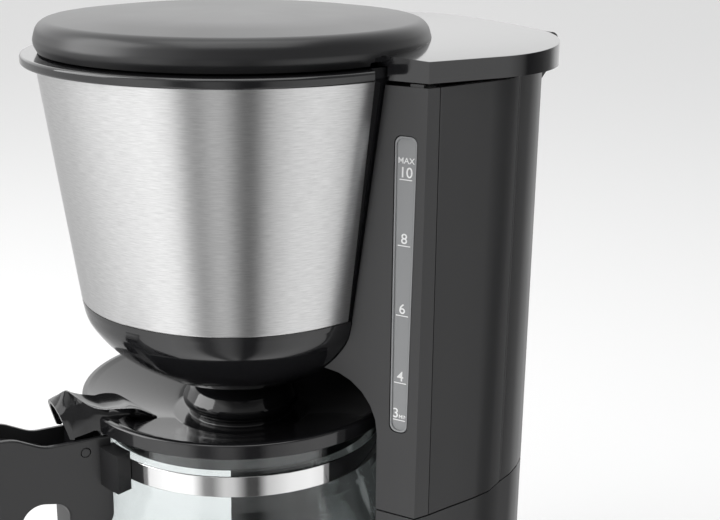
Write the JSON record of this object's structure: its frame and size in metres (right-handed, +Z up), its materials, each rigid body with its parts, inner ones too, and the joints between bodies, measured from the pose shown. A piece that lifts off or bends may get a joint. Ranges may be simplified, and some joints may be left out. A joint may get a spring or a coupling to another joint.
{
  "type": "drip coffee maker",
  "caption": "Drip coffee maker with a steel-wrapped filter funnel, hinged lid, rear water tank with level window, hotplate and a glass jug that opens the drip valve.",
  "frame": {"origin": "centre of the bounding box at the height of the table", "axes": "+Z up, -Y towards the front of the machine, where the jug's handle points, +X to the machine's right as seen from the front"},
  "size_m": [0.1826, 0.2628, 0.34],
  "materials": {
    "gloss_black": "gloss",
    "satin_black": "satin",
    "brushed_steel": "brushed upright",
    "polished_steel": "polished",
    "glass": "clear",
    "window_grey": "translucent",
    "translucent_tank": "translucent",
    "silicone": "matt",
    "rubber": "matt",
    "aluminium": "as cast",
    "hotplate_coating": "non-stick coating",
    "switch_red": "gloss"
  },
  "bodies": {
    "machine": {"base_housing": "satin_black", "bottom_cover": "satin_black", "foot_1": "rubber", "foot_2": "rubber", "foot_3": "rubber", "foot_4": "rubber", "base_screw_1": "polished_steel", "base_screw_2": "polished_steel", "base_screw_3": "polished_steel", "base_screw_4": "polished_steel", "switch_bezel": "gloss_black", "cord_gland": "rubber", "hotplate": "hotplate_coating", "hotplate_seal": "rubber", "heater_tube": "aluminium", "heater_clamp": "aluminium", "thermostat": "aluminium", "thermal_fuse": "silicone", "water_tank": "translucent_tank", "feed_hose": "silicone", "check_valve": "silicone", "heater_inlet_hose": "silicone", "riser_hose": "silicone", "riser_outlet": "satin_black", "column_front": "satin_black", "tank_shell": "satin_black", "level_window": "window_grey", "funnel_housing": "gloss_black", "steel_wrap": "brushed_steel", "filter_basket": "satin_black", "valve_bridge": "satin_black", "valve_spring": "polished_steel", "lid_hinge_pin": "polished_steel"},
    "lid": {"lid_shell": "gloss_black", "spray_plate": "satin_black"},
    "jug": {"jug_glass": "glass", "jug_band": "polished_steel", "band_screw": "polished_steel", "jug_handle": "satin_black", "jug_lid": "gloss_black", "jug_lid_pin": "satin_black"},
    "drip_valve": {"valve_plunger": "satin_black", "valve_seal": "silicone"},
    "rocker": {"rocker_switch": "switch_red"}
  },
  "joints": [
    {"name": "lid_hinge", "type": "hinge", "parent": "machine", "child": "lid", "pos_m": [0, 0.1278, 0.3243], "axis": [-1, 0, 0], "range_deg": [0, 85]},
    {"name": "jug_slide", "type": "slide", "parent": "machine", "child": "jug", "axis": [0, -1, 0], "range_m": [0, 0.14]},
    {"name": "valve_lift", "type": "slide", "parent": "machine", "child": "drip_valve", "axis": [0, 0, 1], "range_m": [0, 0.004], "stiffness_N_per_m": 400, "springref_m": -0.003, "deforming": ["valve_spring"]},
    {"name": "switch_rocker", "type": "hinge", "parent": "machine", "child": "rocker", "pos_m": [0, -0.0894, 0.02], "axis": [-1, 0, 0], "range_deg": [0, 14]}
  ]
}
